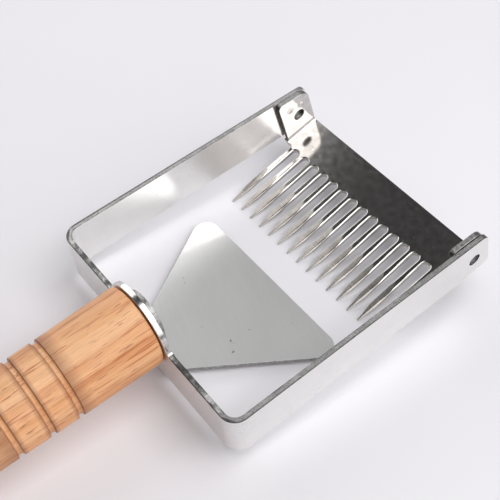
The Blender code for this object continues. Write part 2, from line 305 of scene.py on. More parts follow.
def soften(
    piece: Object,
    width: float,
    segments: int = 2,
    angle: float = 35.0,
    share: Callable[[Vector, Vector], float] | None = None,
) -> None:
    """Round a piece's edges a little and smooth its shading.

    Args:
        piece: The piece to soften.
        width: The width of the rounding.
        segments: How many faces cross the rounding.
        angle: Edges turned more than this, in degrees, are rounded.
        share: Gives an edge's share of the width from its ends, where edges differ.
    """
    pick_up(piece)
    bevel = piece.modifiers.new("soften", "BEVEL")
    bevel.width = width
    bevel.segments = segments
    bevel.limit_method = "ANGLE"
    bevel.angle_limit = math.radians(angle)
    bevel.miter_outer = "MITER_ARC"
    if share:
        weigh_edges(piece, math.radians(angle), share)
        bevel.limit_method = "WEIGHT"
        bevel.use_clamp_overlap = False
    bpy.ops.object.modifier_apply(modifier=bevel.name)


def weigh_edges(piece: Object, angle: float, share: Callable[[Vector, Vector], float]) -> None:
    """Give each sharp edge its share of the rounding.

    Args:
        piece: The piece whose edges are weighed.
        angle: Edges turned more than this, in radians, are weighed.
        share: Gives an edge's share from its ends.
    """
    shape = bmesh.new()
    shape.from_mesh(piece.data)
    weights = shape.edges.layers.float.new("bevel_weight_edge")
    for edge in shape.edges:
        if edge.calc_face_angle(0.0) > angle:
            edge[weights] = share(edge.verts[0].co, edge.verts[1].co)
    shape.to_mesh(piece.data)
    shape.free()


def put_in_order(piece: Object) -> None:
    """Number a piece's points and faces by place, because modelling leaves them in an order that varies.

    Args:
        piece: The piece, before its faces have finishes.
    """
    mesh = piece.data
    order = sorted(mesh.vertices, key=lambda vertex: [round(part, 7) for part in vertex.co])
    number = {vertex.index: i for i, vertex in enumerate(order)}
    places = [vertex.co.copy() for vertex in order]
    faces = []
    for face in mesh.polygons:
        corners = [number[index] for index in face.vertices]
        first = corners.index(min(corners))
        faces.append(corners[first:] + corners[:first])
    mesh.clear_geometry()
    mesh.from_pydata(places, [], sorted(faces))


def smooth(piece: Object, angle: float = 50.0) -> None:
    """Smooth a piece's shading, with its broad flat faces kept flat.

    Args:
        piece: The piece to smooth.
        angle: Edges turned more than this, in degrees, stay sharp.
    """
    put_in_order(piece)
    pick_up(piece)
    bpy.ops.object.shade_smooth_by_angle(angle=math.radians(angle))
    near = math.cos(math.radians(angle))
    mesh = piece.data
    touching: dict[int, list[tuple[Vector, float]]] = {}
    for face in mesh.polygons:
        for vertex in face.vertices:
            touching.setdefault(vertex, []).append((face.normal.copy(), face.area))
    normals = []
    for face in mesh.polygons:
        for vertex in face.vertices:
            alike = [(normal, area) for normal, area in touching[vertex] if normal.dot(face.normal) > near]
            broadest = max(1e-14, *(area for _, area in alike))
            shared = sum((normal * (area / broadest) ** 3 for normal, area in alike), Vector())
            normals.append(shared.normalized() if shared.length > 0.0 else face.normal)
    mesh.normals_split_custom_set(normals)


def store_places(piece: Object, to_sheet: Callable[[Vector], Vector]) -> None:
    """Store each vertex's place on its own sheet, for the patterns.

    Args:
        piece: The piece, still in its shaping axes.
        to_sheet: Gives a point's place on the sheet.
    """
    attribute = piece.data.attributes.new("on_sheet", "FLOAT_VECTOR", "POINT")
    for vertex in piece.data.vertices:
        attribute.data[vertex.index].vector = to_sheet(vertex.co)


def dress(
    piece: Object, materials: Sequence[Material], surface_of: Callable[[MeshPolygon], Surface]
) -> None:
    """Give each face of a piece the material of its surface.

    Args:
        piece: The piece.
        materials: One material for each surface, in order.
        surface_of: Tells which surface a face belongs to.
    """
    for material in materials:
        piece.data.materials.append(material)
    for face in piece.data.polygons:
        face.material_index = surface_of(face).value


def lay_down(piece: Object, node: str, turned: Matrix | None = None) -> None:
    """Lay a finished piece on the bench and let it stand for a node.

    Args:
        piece: The piece in its shaping axes.
        node: The node that it stands for.
        turned: A turn from the shaping axes to the square axes, where they differ.
    """
    piece.data.transform(ON_BENCH @ turned if turned else ON_BENCH)
    piece.data.update()
    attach(piece, "root")
    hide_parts(node)
    log.info("%s: %d faces, stands for %s", piece.name, len(piece.data.polygons), node)


class Recipe:
    """A procedural material on a Principled surface, built up from small steps."""

    def __init__(self, name: str, colour: Colour, metal: float, rough: float) -> None:
        """Start a material.

        Args:
            name: The material's name.
            colour: Its main colour.
            metal: How metallic it is.
            rough: Its roughness.
        """
        self.material = bpy.data.materials.new(name)
        self.material.use_nodes = True
        self.tree = self.material.node_tree
        self.surface = self.tree.nodes["Principled BSDF"]
        self.surface.inputs["Base Color"].default_value = (*colour, 1.0)
        self.surface.inputs["Metallic"].default_value = metal
        self.surface.inputs["Roughness"].default_value = rough

    def add(self, kind: str, **settings: object) -> Node:
        """Add a node and set its properties.

        Args:
            kind: The node's type.
            settings: Its properties.

        Returns:
            The node.
        """
        node = self.tree.nodes.new(kind)
        for name, value in settings.items():
            setattr(node, name, value)
        return node

    def join(self, source: NodeSocket, target: NodeSocket) -> None:
        """Link two sockets."""
        self.tree.links.new(source, target)

    def places(self, stretch: tuple[float, float, float] = PLAIN, turn: float = 0.0) -> NodeSocket:
        """Read the places on the sheet.

        Args:
            stretch: The scale along each axis.
            turn: A turn about the third axis, in radians.

        Returns:
            The places, stretched and turned.
        """
        source = self.add("ShaderNodeAttribute", attribute_name="on_sheet")
        mapping = self.add("ShaderNodeMapping", vector_type="POINT")
        mapping.inputs["Rotation"].default_value = (0.0, 0.0, turn)
        mapping.inputs["Scale"].default_value = stretch
        self.join(source.outputs["Vector"], mapping.inputs["Vector"])
        return mapping.outputs["Vector"]

    def noise(self, places: NodeSocket, scale: float, detail: float = 3.0, rough: float = 0.5) -> NodeSocket:
        """Make a noise pattern.

        Args:
            places: The places that it reads.
            scale: How fine it is.
            detail: How many finer layers it has.
            rough: How strong they are.

        Returns:
            The pattern's value.
        """
        node = self.add("ShaderNodeTexNoise")
        node.inputs["Scale"].default_value = scale
        node.inputs["Detail"].default_value = detail
        node.inputs["Roughness"].default_value = rough
        self.join(places, node.inputs["Vector"])
        return node.outputs["Fac"]

    def tint(self, value: NodeSocket, stops: Sequence[tuple[float, Colour]]) -> NodeSocket:
        """Pass a value through a row of colours.

        Args:
            value: The value.
            stops: Each colour's position, and the colour.

        Returns:
            The colour.
        """
        node = self.add("ShaderNodeValToRGB")
        elements = node.color_ramp.elements
        while len(elements) < len(stops):
            elements.new(1.0)
        for element, (at, colour) in zip(elements, stops):
            element.position = at
            element.color = (*colour, 1.0)
        self.join(value, node.inputs["Fac"])
        return node.outputs["Color"]

    def ramp(self, value: NodeSocket, stops: Sequence[tuple[float, float]]) -> NodeSocket:
        """Return a shade from grey stops, each a position and a level."""
        return self.tint(value, [(at, (level, level, level)) for at, level in stops])

    def mix(self, share: NodeSocket | float, first: object, second: object, blend: str = "MIX") -> NodeSocket:
        """Blend two colours.

        Args:
            share: How much of the second one shows.
            first: A socket or a colour.
            second: A socket or a colour.
            blend: The kind of blend.

        Returns:
            The blend.
        """
        node = self.add("ShaderNodeMix", data_type="RGBA", blend_type=blend)
        for socket, value in ((node.inputs[0], share), (node.inputs[6], first), (node.inputs[7], second)):
            if isinstance(value, NodeSocket):
                self.join(value, socket)
            elif isinstance(value, float):
                socket.default_value = value
            else:
                socket.default_value = (*value, 1.0)
        return node.outputs[2]

    def times(self, first: object, second: object) -> NodeSocket:
        """Return one colour multiplied by another."""
        return self.mix(1.0, first, second, "MULTIPLY")

    def reckon(self, operation: str, first: NodeSocket, second: NodeSocket | float) -> NodeSocket:
        """Reckon with two values.

        Args:
            operation: What is done, such as a sum or a product.
            first: The first value.
            second: The second value.

        Returns:
            The result.
        """
        node = self.add("ShaderNodeMath", operation=operation)
        self.join(first, node.inputs[0])
        if isinstance(second, NodeSocket):
            self.join(second, node.inputs[1])
        else:
            node.inputs[1].default_value = second
        return node.outputs[0]

    def grain(self, across: Vector, share: float) -> None:
        """Blur reflections more across the grain than along it.

        Args:
            across: The direction across the grain, in the square axes.
            share: How uneven the blur is, from 0 to 1.
        """
        turned = self.add("ShaderNodeVectorTransform", vector_type="VECTOR")
        turned.convert_from = "OBJECT"
        turned.convert_to = "WORLD"
        turned.inputs["Vector"].default_value = ON_BENCH.to_3x3() @ across
        self.join(turned.outputs["Vector"], self.surface.inputs["Tangent"])
        self.surface.inputs["Anisotropic"].default_value = share

    def haze(self, rough: float, share: float) -> None:
        """Mix in a second, duller surface of the same colour, as scratched metal has.

        Args:
            rough: The second surface's roughness.
            share: How much of it shows.
        """
        dull = self.add("ShaderNodeBsdfPrincipled")
        dull.inputs["Roughness"].default_value = rough
        dull.inputs["Metallic"].default_value = self.surface.inputs["Metallic"].default_value
        for name in ("Base Color", "Normal"):
            for link in self.surface.inputs[name].links:
                self.join(link.from_socket, dull.inputs[name])
        both = self.add("ShaderNodeMixShader")
        both.inputs[0].default_value = share
        self.join(self.surface.outputs[0], both.inputs[1])
        self.join(dull.outputs[0], both.inputs[2])
        self.join(both.outputs[0], self.tree.nodes["Material Output"].inputs["Surface"])

    def colour(self, source: NodeSocket) -> None:
        """Colour the surface."""
        self.join(source, self.surface.inputs["Base Color"])

    def roughness(self, source: NodeSocket, low: float, high: float) -> None:
        """Vary the roughness.

        Args:
            source: The pattern.
            low: The roughness where it is 0.
            high: The roughness where it is 1.
        """
        spread = self.add("ShaderNodeMapRange")
        spread.inputs["To Min"].default_value = low
        spread.inputs["To Max"].default_value = high
        self.join(source, spread.inputs["Value"])
        self.join(spread.outputs["Result"], self.surface.inputs["Roughness"])

    def bump(self, height: NodeSocket, depth: float, strength: float = 1.0) -> None:
        """Raise the surface by a pattern.

        Args:
            height: The pattern.
            depth: The height of the pattern's full range.
            strength: How much of it shows.
        """
        node = self.add("ShaderNodeBump")
        node.inputs["Distance"].default_value = depth
        node.inputs["Strength"].default_value = strength
        normal = self.surface.inputs["Normal"]
        if normal.is_linked:
            self.join(normal.links[0].from_socket, node.inputs["Normal"])
        self.join(height, node.inputs["Height"])
        self.join(node.outputs["Normal"], normal)


@dataclass(frozen=True)
class RolledSteel:
    """Bright rolled strip, with faint lines along it."""

    colour: Colour = (0.86, 0.845, 0.835)
    rough: tuple[float, float] = (0.25, 0.31)

    def make(self) -> Material:
        """Mix the material.

        Returns:
            The material.
        """
        recipe = Recipe("rolled_steel", self.colour, 1.0, self.rough[0])
        lines = recipe.noise(recipe.places((9.0, 1300.0, 90.0)), 5.0, 4.0, 0.6)
        clouds = recipe.noise(recipe.places(), 90.0, 4.0, 0.6)
        recipe.roughness(recipe.mix(0.5, lines, clouds), *self.rough)
        recipe.grain(Vector((0.0, 0.0, 1.0)), 0.85)
        shade = recipe.ramp(clouds, ((0.3, 0.96), (0.7, 1.0)))
        recipe.colour(recipe.times(shade, self.colour))
        recipe.bump(lines, 0.000003, 0.2)
        return recipe.material


@dataclass(frozen=True)
class CutSteel:
    """The sheared edge of the sheet: matt and speckled.

    A bordered one has dark lines of painted shade along both borders of a strip's edge, and is duller on the
    back wall.
    """

    name: str
    bordered: bool = False
    colour: Colour = (0.40, 0.395, 0.39)

    def make(self) -> Material:
        """Mix the material.

        Returns:
            The material.
        """
        recipe = Recipe(self.name, self.colour, 1.0, 0.42)
        fine = recipe.noise(recipe.places(), 1500.0, 3.0, 0.65)
        broad = recipe.noise(recipe.places(), 260.0, 3.0, 0.6)
        speckle = recipe.ramp(fine, ((0.34, 0.35), (0.47, 0.86), (0.60, 1.0), (0.70, 1.35)))
        patches = recipe.ramp(broad, ((0.36, 0.82), (0.5, 0.97), (0.66, 1.15)))
        mottled = recipe.times(speckle, patches)
        if self.bordered:
            mottled = recipe.times(mottled, self._borders(recipe, broad))
        recipe.colour(recipe.times(mottled, self.colour))
        recipe.roughness(fine, 0.30, 0.58)
        recipe.bump(fine, 0.00006, 0.6)
        return recipe.material

    @staticmethod
    def _borders(recipe: Recipe, wander: NodeSocket) -> NodeSocket:
        """Shade a strip's edge: painted shade makes its borders dark, and it is darker and blotched on the
        back wall.

        Args:
            recipe: The material in the making.
            wander: The pattern that makes the borders waver.

        Returns:
            The shade.
        """
        apart = recipe.add("ShaderNodeSeparateXYZ")
        recipe.join(recipe.places(), apart.inputs["Vector"])
        depth = recipe.reckon("MULTIPLY", recipe.reckon("ADD", apart.outputs["Z"], -0.004), 1.0 / SHEET)
        waver = recipe.reckon("MULTIPLY", recipe.reckon("ADD", wander, -0.5), 0.35)
        wavy = recipe.reckon("ADD", depth, waver)
        # Painted shade: this ramp darkens both borders of the edge, across the sheet's depth.
        lines = recipe.ramp(wavy, ((0.0, 0.45), (0.14, 0.95), (0.5, 1.08), (0.78, 1.0), (0.90, 0.30)))
        along = recipe.reckon("MULTIPLY", recipe.reckon("ABSOLUTE", apart.outputs["X"], 0.0), 20.0)
        wall = recipe.ramp(along, ((0.80, 0.0), (0.95, 1.0)))
        blotches = recipe.ramp(wander, ((0.40, 0.35), (0.52, 0.75), (0.62, 1.5)))
        return recipe.times(lines, recipe.mix(wall, blotches, (1.08, 1.08, 1.08)))


@dataclass(frozen=True)
class PolishedSteel:
    """Near-mirror sheet with faint clouds and tiny bright specks."""

    colour: Colour = (0.64, 0.615, 0.595)

    def make(self) -> Material:
        """Mix the material.

        Returns:
            The material.
        """
        recipe = Recipe("polished_steel", self.colour, 1.0, 0.18)
        clouds = recipe.noise(recipe.places(), 330.0, 4.0, 0.65)
        specks = recipe.noise(recipe.places(), 900.0, 1.0, 0.4)
        bright = recipe.ramp(specks, ((0.74, 0.0), (0.78, 1.0)))
        base = recipe.tint(clouds, ((0.35, tuple(0.78 * c for c in self.colour)), (0.65, self.colour)))
        recipe.colour(recipe.mix(bright, base, (0.95, 0.95, 0.94)))
        recipe.roughness(recipe.mix(0.3, clouds, bright), 0.10, 0.19)
        recipe.bump(clouds, 0.00001, 0.42)
        return recipe.material


@dataclass(frozen=True)
class GroundSteel:
    """The ground tips of the tines, with grinding marks across them."""

    colour: Colour = (0.37, 0.345, 0.32)

    def make(self) -> Material:
        """Mix the material.

        Returns:
            The material.
        """
        recipe = Recipe("ground_steel", self.colour, 1.0, 0.34)
        marks = recipe.noise(recipe.places((260.0, 4200.0, 260.0), math.radians(12.0)), 1.0, 3.0, 0.6)
        broad = recipe.noise(recipe.places(), 240.0, 2.0, 0.5)
        shade = recipe.ramp(marks, ((0.3, 0.74), (0.5, 0.97), (0.68, 1.15)))
        patches = recipe.ramp(broad, ((0.3, 0.84), (0.7, 1.1)))
        recipe.colour(recipe.times(recipe.times(shade, patches), self.colour))
        recipe.roughness(marks, 0.17, 0.27)
        recipe.bump(marks, 0.00002, 0.25)
        return recipe.material


@dataclass(frozen=True)
class BrushedSteel:
    """The guide plate's satin sheet, finely brushed aslant across its width."""

    colour: Colour = (0.83, 0.83, 0.825)
    slant: float = math.radians(-20.0)

    def make(self) -> Material:
        """Mix the material.

        Returns:
            The material.
        """
        recipe = Recipe("brushed_steel", self.colour, 1.0, 0.30)
        turned = recipe.places(PLAIN, -self.slant)
        stretched = recipe.add("ShaderNodeMapping")
        stretched.inputs["Scale"].default_value = (90.0, 5200.0, 200.0)
        recipe.join(turned, stretched.inputs["Vector"])
        lines = recipe.noise(stretched.outputs["Vector"], 1.0, 3.0, 0.6)
        broad = recipe.noise(recipe.places(), 45.0, 3.0, 0.5)
        marks = recipe.noise(recipe.places(), 420.0, 1.0, 0.3)
        shade = recipe.ramp(lines, ((0.3, 0.95), (0.7, 1.02)))
        patches = recipe.ramp(broad, ((0.3, 0.96), (0.7, 1.02)))
        specks = recipe.ramp(marks, ((0.19, 0.5), (0.24, 1.0)))
        mottled = recipe.times(recipe.times(shade, patches), specks)
        recipe.colour(recipe.times(mottled, self.colour))
        recipe.roughness(lines, 0.08, 0.16)
        across = Matrix.Rotation(self.slant, 3, "Z") @ Vector((0.0, 1.0, 0.0))
        recipe.grain(across, 0.3)
        recipe.bump(lines, 0.000004, 0.25)
        recipe.haze(0.55, 0.6)
        return recipe.material


@dataclass(frozen=True)
class OiledWood:
    """Open-grained orange-tan wood, with its fibres along the handle."""

    pale: Colour = (0.82, 0.46, 0.24)
    middle: Colour = (0.72, 0.345, 0.15)
    dark: Colour = (0.55, 0.21, 0.07)
    vein: Colour = (0.42, 0.105, 0.025)

    def make(self) -> Material:
        """Mix the material.

        Returns:
            The material.
        """
        recipe = Recipe("oiled_wood", self.middle, 0.0, 0.5)
        bands = recipe.noise(recipe.places((1.0, 0.05, 1.0)), 170.0, 3.0, 0.55)
        fibres = recipe.noise(recipe.places((1.0, 0.03, 1.0)), 2300.0, 4.0, 0.65)
        lines = recipe.noise(recipe.places((1.0, 0.035, 1.0)), 950.0, 3.0, 0.6)
        pores = recipe.noise(recipe.places((1.0, 0.09, 1.0)), 1500.0, 2.0, 0.5)
        base = recipe.tint(bands, ((0.30, self.dark), (0.44, self.middle), (0.60, self.pale)))
        streaks = recipe.ramp(fibres, ((0.3, 0.84), (0.5, 0.98), (0.7, 1.08)))
        veins = recipe.ramp(lines, ((0.34, 1.0), (0.385, 0.55), (0.43, 0.0)))
        open_pores = recipe.ramp(pores, ((0.30, 0.75), (0.36, 0.0)))
        shaded = recipe.times(base, streaks)
        veined = recipe.mix(recipe.reckon("MULTIPLY", veins, 0.75), shaded, self.vein)
        grained = recipe.mix(open_pores, veined, (0.36, 0.12, 0.05))
        wear = recipe.add("ShaderNodeAttribute", attribute_name="burn")
        recipe.colour(recipe.mix(wear.outputs["Fac"], grained, (0.16, 0.040, 0.014)))
        recipe.roughness(fibres, 0.42, 0.62)
        recipe.bump(fibres, 0.00008, 0.4)
        recipe.bump(veins, -0.00010, 0.5)
        recipe.surface.inputs["Coat Weight"].default_value = 0.08
        recipe.surface.inputs["Coat Roughness"].default_value = 0.35
        return recipe.material


@dataclass(frozen=True)
class GrainySteel:
    """Steel with a fine, even grain, bright or dark: rims, plating, weld marks, and the near-black painted
    shade on the ears' rear edges.
    """

    name: str
    colour: Colour
    rough: tuple[float, float] = (0.25, 0.45)

    def make(self) -> Material:
        """Mix the material.

        Returns:
            The material.
        """
        recipe = Recipe(self.name, self.colour, 1.0, self.rough[0])
        grain = recipe.noise(recipe.places(), 900.0, 3.0, 0.6)
        shade = recipe.ramp(grain, ((0.3, 0.75), (0.7, 1.05)))
        recipe.colour(recipe.times(shade, self.colour))
        recipe.roughness(grain, *self.rough)
        recipe.bump(grain, 0.00003, 0.4)
        return recipe.material


@dataclass(frozen=True)
class FloorPaint:
    """The pale bench top."""

    colour: Colour = (0.80, 0.785, 0.82)

    def make(self) -> Material:
        """Mix the material.

        Returns:
            The material.
        """
        recipe = Recipe("bench_top", self.colour, 0.0, 0.75)
        source = recipe.add("ShaderNodeTexCoord")
        clouds = recipe.noise(source.outputs["Object"], 9.0, 2.0)
        recipe.colour(recipe.tint(clouds, ((0.3, tuple(0.985 * c for c in self.colour)), (0.7, self.colour))))
        return recipe.material


@dataclass
class Finishes:
    """Every material of the tool, made once."""

    rolled: Material
    rim: Material
    strip_edge: Material
    cut_edge: Material
    scorched: Material
    polished: Material
    ground: Material
    brushed: Material
    wood: Material
    plated: Material
    weld: Material

    @classmethod
    def make(cls) -> "Finishes":
        """Return all the finishes."""
        return cls(
            rolled=RolledSteel().make(),
            rim=GrainySteel("rim_steel", (0.74, 0.73, 0.72), (0.12, 0.24)).make(),
            strip_edge=CutSteel("strip_edge", bordered=True).make(),
            cut_edge=CutSteel("cut_edge").make(),
            # A near-black finish that paints the shade on the comb ears' rear edges.
            scorched=GrainySteel("scorched_steel", (0.09, 0.075, 0.06), (0.35, 0.5)).make(),
            polished=PolishedSteel().make(),
            ground=GroundSteel().make(),
            brushed=BrushedSteel().make(),
            wood=OiledWood().make(),
            plated=GrainySteel("plated_steel", (0.66, 0.64, 0.58)).make(),
            weld=GrainySteel("weld_steel", (0.68, 0.66, 0.65), (0.18, 0.3)).make(),
        )


@dataclass
class StripFrame:
    """Steel strip bent to a U, with a round tab on its back wall and a bore near the end of each arm."""

    half_width: float
    height: float = 0.020
    bend: float = 0.006
    end_top: float = 0.1142
    end_low: float = 0.1184
    lower_rise: tuple[float, float] = (0.104, 0.002)
    tab_radius: float = 0.016
    tab_centre: float = 0.0198
    tab_fillet: float = 0.003
    bore_place: tuple[float, float] = BORE_PLACE
    bore_radius: float = BORE_RADIUS
    axis_height: float = SCREW_HEIGHT
    edge: float = 0.00022

    def build(self, finishes: Finishes) -> Object:
        """Model and dress the frame.

        Args:
            finishes: The tool's materials.

        Returns:
            The finished piece.
        """
        piece = self._strip()
        cut(piece, self._tab_outline(), "INTERSECT")
        cut(piece, self._arm_outline(), "INTERSECT")
        wide = self.half_width + PAST
        y, z = self.bore_place
        cut(piece, rod("bore", Vector((-wide, y, z)), Vector((wide, y, z)), self.bore_radius))
        back = Vector((0.0, -PAST, self.axis_height))
        cut(piece, rod("tab_bore", back, Vector((0.0, PAST, self.axis_height)), self.bore_radius))
        soften(piece, self.edge, 3)
        smooth(piece)
        store_places(piece, self.on_sheet)
        materials = (finishes.rolled, finishes.strip_edge, finishes.rim)
        dress(piece, materials, self._surface_of)
        lay_down(piece, "frame")
        return piece

    def _strip(self) -> Object:
        """Bend the strip to a U, taller than the tab.

        Returns:
            The U.
        """
        far = self.end_low + PAST
        inside = self.half_width - SHEET
        within = self.bend - SHEET
        pen = Scriber("strip_frame", Face.PLAN, (-self.half_width, far))
        pen.polygon(
            [
                (-self.half_width, 0.0, self.bend),
                (self.half_width, 0.0, self.bend),
                (self.half_width, far, 0.0),
                (inside, far, 0.0),
                (inside, SHEET, within),
                (-inside, SHEET, within),
                (-inside, far, 0.0),
            ]
        )
        return pen.raise_by(self.tab_centre + self.tab_radius + PAST)

    def _tab_outline(self) -> Object:
        """Shape the frame's outline from behind.

        Returns:
            The cutter.
        """
        wide = self.half_width + PAST
        rise = self.height + self.tab_fillet - self.tab_centre
        reach = math.sqrt((self.tab_radius + self.tab_fillet) ** 2 - rise**2)
        touch = math.atan2(rise, reach)
        pen = Scriber("tab_outline", Face.FRONT, (-wide, -PAST), -2 * self.end_low)
        pen.line((wide, -PAST), (wide, self.height), (reach, self.height))
        pen.arc(Vector((reach, self.height + self.tab_fillet)), -(math.pi / 2 - touch))
        pen.arc(Vector((0.0, self.tab_centre)), math.pi - 2 * touch, 4.0)
        pen.arc(Vector((-reach, self.height + self.tab_fillet)), -(math.pi / 2 - touch))
        pen.line((-wide, self.height))
        return pen.raise_by(4 * self.end_low)

    def _arm_outline(self) -> Object:
        """Shape the frame's outline from the side.

        Returns:
            The cutter.
        """
        top = self.tab_centre + self.tab_radius + 2 * PAST
        wide = self.half_width + PAST
        middle = self.end_low / 2
        pen = Scriber("arm_outline", Face.SIDE, (-PAST, -PAST), -wide)
        pen.polygon(
            [
                (middle, -PAST, 0.0),
                (middle + PAST, 0.0, 0.0),
                (self.lower_rise[0], 0.0, 0.02),
                (self.end_low, self.lower_rise[1], 0.003),
                (self.end_top, self.height, 0.003),
                (self.lower_rise[0], self.height, 0.0),
                (middle, self.height + PAST, 0.0),
                (middle, top, 0.0),
                (-PAST, top, 0.0),
            ]
        )
        return pen.raise_by(2 * wide)

    def _bend_centre(self, place: Vector) -> Vector | None:
        """Find the bend that a place lies in.

        Args:
            place: A place on the frame.

        Returns:
            The bend's centre at the place's height, or None on the flats.
        """
        straight = self.half_width - self.bend
        if abs(place.x) <= straight or place.y >= self.bend:
            return None
        return Vector((math.copysign(straight, place.x), self.bend, place.z))

    def _sheet_normal(self, place: Vector) -> Vector:
        """Find the direction through the sheet's thickness.

        Args:
            place: A place on the frame.

        Returns:
            The direction, as a unit vector.
        """
        centre = self._bend_centre(place)
        if centre is not None:
            return (place - centre).normalized()
        if place.y < self.bend:
            return Vector((0.0, 1.0, 0.0))
        return Vector((1.0, 0.0, 0.0))

    def _surface_of(self, face: MeshPolygon) -> Surface:
        """Tell which surface a face belongs to.

        Args:
            face: A face of the piece, in its shaping axes.

        Returns:
            The surface.
        """
        across = abs(face.normal.dot(self._sheet_normal(face.center)))
        if across > 0.8:
            return Surface.SHEET
        return Surface.DRESSED if face.center.z > self.height + 0.0005 else Surface.CUT_EDGE

    def on_sheet(self, place: Vector) -> Vector:
        """Unfold a place on the bent strip.

        Args:
            place: A place on the frame.

        Returns:
            The distance along the strip, the height and the depth in the sheet.
        """
        centre = self._bend_centre(place)
        side = math.copysign(1.0, place.x)
        straight = self.half_width - self.bend
        if centre is not None:
            spoke = place - centre
            turn = math.atan2(abs(spoke.x), -spoke.y)
            return Vector((side * (straight + self.bend * turn), place.z, spoke.xy.length))
        if place.y < self.bend:
            return Vector((place.x, place.z, self.bend - place.y))
        along = straight + self.bend * math.pi / 2 + place.y - self.bend
        return Vector((side * along, place.z, abs(place.x) - straight))


@dataclass
class Comb:
    """One sheet with a plate, a row of ground tines behind it and an upturned ear at each end."""

    tilt: float = math.radians(13.3)
    fold: tuple[float, float] = (0.1114, -0.00014)
    front: float = 0.007
    tip: float = -0.0425
    tines: int = 15
    pitch: float = 0.00574
    width: float = 0.0024
    tip_width: float = 0.0004
    first: float = -0.0431
    slot_end: float = -0.0087
    taper: float = -0.033
    grind: float = -0.023
    tip_thickness: float = 0.0007
    rolled_edge: float = 0.0007
    left_dip: float = 0.07
    right_dip: float = 0.36
    ridge_shift: float = 0.0009
    slot_corner: float = 0.0012
    ear_inner: float = EAR_INNER
    ear_rear: float = -0.0078
    ear_top: float = 0.0202
    ear_bend: float = 0.0014
    bore_place: tuple[float, float] = BORE_PLACE
    bore_radius: float = BORE_RADIUS
    weld_places: tuple[tuple[str, float, float], ...] = WELD_PLACES
    weld_radius: float = 0.00166

    @property
    def plane(self) -> Matrix:
        """Return the turn from the comb's own plane to the square axes."""
        return Matrix.Translation((0.0, *self.fold)) @ Matrix.Rotation(self.tilt, 4, "X")

    def build(self, finishes: Finishes) -> Object:
        """Model and dress the comb.

        Args:
            finishes: The tool's materials.

        Returns:
            The finished piece.
        """
        piece = self._section()
        cut(piece, self._side_outline(), "INTERSECT")
        cut(piece, self._plan_outline(), "INTERSECT")
        into_plane = self.plane.inverted()
        holes = [(*self.bore_place, self.bore_radius)]
        holes += [(y, z, self.weld_radius) for _, y, z in self.weld_places]
        wide = self.ear_inner + PAST
        for y, z, radius in holes:
            cutter = rod("bore", Vector((-wide, y, z)), Vector((wide, y, z)), radius)
            cutter.data.transform(into_plane)
            cut(piece, cutter)
        soften(piece, self.rolled_edge, 5, 35.0, self._edge_share)
        cut(piece, self._taper_cutter())
        for facet in self._grinds():
            cut(piece, self._grinder(facet))
        smooth(piece)
        store_places(piece, lambda place: place)
        materials = (finishes.polished, finishes.cut_edge, finishes.ground, finishes.scorched)
        dress(piece, materials, self._surface_of)
        lay_down(piece, "comb", self.plane)
        return piece

    def _section(self) -> Object:
        """Fold the sheet up at both ends, as deep as the comb.

        Returns:
            The folded sheet.
        """
        outer = self.ear_inner + SHEET
        tall = self._top_of_ear(0.0) + PAST
        pen = Scriber("comb_sheet", Face.FRONT, (-outer, tall), -self.front)
        pen.polygon(
            [
                (-outer, -SHEET, self.ear_bend + SHEET),
                (outer, -SHEET, self.ear_bend + SHEET),
                (outer, tall, 0.0),
                (self.ear_inner, tall, 0.0),
                (self.ear_inner, 0.0, self.ear_bend),
                (-self.ear_inner, 0.0, self.ear_bend),
                (-self.ear_inner, tall, 0.0),
            ]
        )
        return pen.raise_by(self.front - self.tip)

    def _plan_outline(self) -> Object:
        """Shape the comb's outline from above: the plate and the row of tines.

        Returns:
            The cutter.
        """
        wide = self.ear_inner + 2 * PAST
        ahead = self.front + PAST
        half = (self.pitch - self.width) / 2
        last = self.first + (self.tines - 1) * self.pitch + self.width
        beyond = self.tip - PAST
        pen = Scriber("comb_outline", Face.PLAN, (-wide, ahead), -0.04)
        pen.line((-wide, self.slot_end))
        pen.corner((self.first, self.slot_end), (self.first, beyond), self.slot_corner)
        for i in range(self.tines):
            left = self.first + i * self.pitch
            right = left + self.width
            pen.line((left, beyond), (right, beyond))
            if i < self.tines - 1:
                pen.line((right, self.slot_end - half))
                pen.arc(Vector((right + half, self.slot_end - half)), -math.pi, 12.0)
        pen.corner((last, self.slot_end), (wide, self.slot_end), self.slot_corner)
        pen.line((wide, self.slot_end), (wide, ahead))
        return pen.raise_by(0.08)

    def _taper_cutter(self) -> Object:
        """Shape the wedges that narrow the tines to their tips, one in each gap.

        Returns:
            The cutter.
        """
        flare = (self.width - self.tip_width) / 2
        half = (self.pitch - self.width) / 2
        beyond = self.tip - PAST
        middle = self.first - half
        pen = Scriber("taper", Face.PLAN, (middle - 0.9 * half, self.taper), -0.004)
        pen.line((middle - half - flare, self.tip), (middle - half - flare, beyond))
        pen.line((middle + half + flare, beyond), (middle + half + flare, self.tip))
        pen.line((middle + 0.9 * half, self.taper))
        wedge = pen.raise_by(0.006)
        self._repeat(wedge, self.tines + 1)
        return wedge

    def _repeat(self, cutter: Object, count: int) -> None:
        """Repeat a cutter across the comb, one pitch apart.

        Args:
            cutter: The cutter.
            count: How many there are in the row.
        """
        pick_up(cutter)
        row = cutter.modifiers.new("row", "ARRAY")
        row.count = count
        row.use_relative_offset = False
        row.use_constant_offset = True
        row.constant_offset_displace = (self.pitch, 0.0, 0.0)
        bpy.ops.object.modifier_apply(modifier=row.name)

    def _top_of_ear(self, along: float) -> float:
        """Return the ears' top edge above the plate, at a distance along it."""
        return (self.ear_top - self.fold[1] - along * math.sin(self.tilt)) / math.cos(self.tilt)

